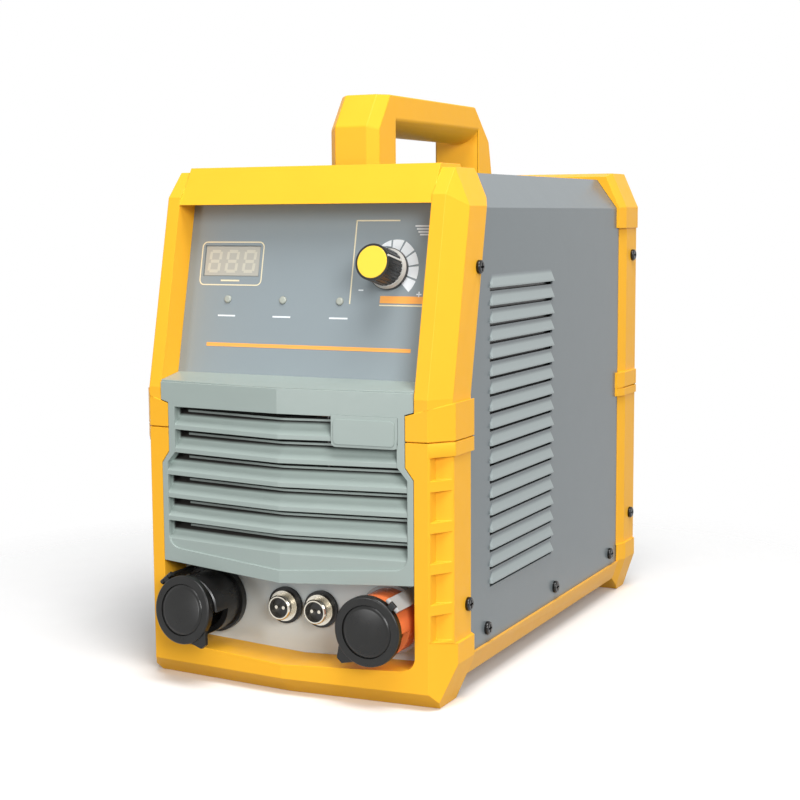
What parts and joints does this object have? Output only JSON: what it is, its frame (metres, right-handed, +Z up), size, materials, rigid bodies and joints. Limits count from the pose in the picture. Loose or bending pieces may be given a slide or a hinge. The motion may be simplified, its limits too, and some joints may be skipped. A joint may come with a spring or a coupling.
{
  "type": "capacitor discharge stud welder",
  "caption": "Portable capacitor-discharge stud welder: grey louvred sheet cover between yellow bumper frames, leaning control panel, keeled grille, capped sockets and carrying handle.",
  "frame": {"origin": "on the floor under the middle of the machine's overall length and width", "axes": "+Z up, -Y towards the front with the control panel, +X to the right seen from the front"},
  "size_m": [0.2232, 0.3961, 0.3785],
  "materials": {
    "yellow_plastic": "satin moulded, fine grain",
    "grey_paint": "semi-gloss powder coat",
    "yellow_paint": "semi-gloss powder coat",
    "panel_grey": "matt printed film on plastic",
    "grille_grey": "satin moulded",
    "panel_steel": "satin grey",
    "black_plastic": "satin black",
    "red_plastic": "satin red",
    "black_rubber": "semi-gloss moulded rubber",
    "grey_rubber": "glossy moulded rubber",
    "yellow_gloss": "satin",
    "white_plastic": "satin white",
    "lamp_lens": "diffused lens, unlit",
    "display_face": "unlit segment display",
    "nickel": "bright nickel plate",
    "brass": "machined",
    "steel": "plain",
    "black_steel": "blackened",
    "can_sleeve": "shrunk sleeve",
    "copper": "bare bar",
    "lamination": "stacked sheet",
    "winding": "enamelled wire",
    "aluminium": "extruded",
    "board_green": "solder mask"
  },
  "bodies": {
    "chassis": {"base_tray": "yellow_paint", "front_frame_upper": "yellow_plastic", "front_frame_lower": "yellow_plastic", "rear_frame_upper": "yellow_plastic", "rear_frame_lower": "yellow_plastic", "cover": "grey_paint", "carry_handle": "yellow_plastic", "control_panel": "panel_grey", "louvre_grille": "grille_grey", "connector_panel": "panel_steel", "rear_panel": "grey_paint", "handle_screws": "black_steel", "cover_screws": "black_steel", "front_frame_screws": "black_steel", "rear_frame_screws": "black_steel", "fan_screws": "black_steel", "display_module": "display_face", "charging_lamp": "lamp_lens", "ready_lamp": "lamp_lens", "reset_lamp": "lamp_lens", "potentiometer": "steel", "potentiometer_nut": "steel", "black_socket_body": "black_plastic", "red_socket_body": "red_plastic", "black_socket_contact": "brass", "red_socket_contact": "brass", "black_socket_nut": "brass", "red_socket_nut": "brass", "black_socket_strap": "black_rubber", "red_socket_strap": "grey_rubber", "left_pin_socket_shell": "nickel", "right_pin_socket_shell": "nickel", "left_pin_socket_insert": "black_plastic", "right_pin_socket_insert": "black_plastic", "pin_socket_contacts": "nickel", "pin_socket_rings": "black_rubber", "pin_socket_nuts": "nickel", "capacitor_cans": "can_sleeve", "capacitor_bracket": "steel", "busbar_positive": "copper", "busbar_negative": "copper", "transformer_core": "lamination", "transformer_coil": "winding", "thyristor_module": "black_plastic", "heat_sink": "aluminium", "control_board": "board_green", "fan_frame": "black_plastic", "fan_guard": "steel", "power_switch_body": "black_plastic", "cable_gland": "black_plastic", "gland_nut": "black_plastic", "earth_stud": "brass"},
    "knob": {"voltage_knob": "black_plastic", "knob_cap": "yellow_gloss", "knob_ring": "white_plastic", "potentiometer_shaft": "steel"},
    "black_cap": {"black_socket_cap": "black_rubber"},
    "red_cap": {"red_socket_cap": "black_rubber"},
    "rocker": {"power_switch_rocker": "black_plastic"},
    "fan": {"fan_rotor": "black_plastic"}
  },
  "joints": [
    {"name": "knob_turn", "type": "hinge", "parent": "chassis", "child": "knob", "pos_m": [0.0573, -0.14063, 0.2655], "axis": [0, -0.9763, 0.2164], "range_deg": [-72, 208]},
    {"name": "black_cap_swing", "type": "hinge", "parent": "chassis", "child": "black_cap", "pos_m": [-0.08026, -0.18817, 0.06854], "axis": [-0.766, 0, -0.6428], "range_deg": [-9, 101]},
    {"name": "red_cap_swing", "type": "hinge", "parent": "chassis", "child": "red_cap", "pos_m": [0.08151, -0.18817, 0.06741], "axis": [-0.7193, 0, 0.6947], "range_deg": [0, 110]},
    {"name": "rocker_tilt", "type": "hinge", "parent": "chassis", "child": "rocker", "pos_m": [-0.062, 0.18463, 0.092], "axis": [1, 0, 0], "range_deg": [0, 18]},
    {"name": "fan_spin", "type": "hinge", "parent": "chassis", "child": "fan", "pos_m": [0, 0.17313, 0.196], "axis": [0, 1, 0], "continuous": true}
  ]
}
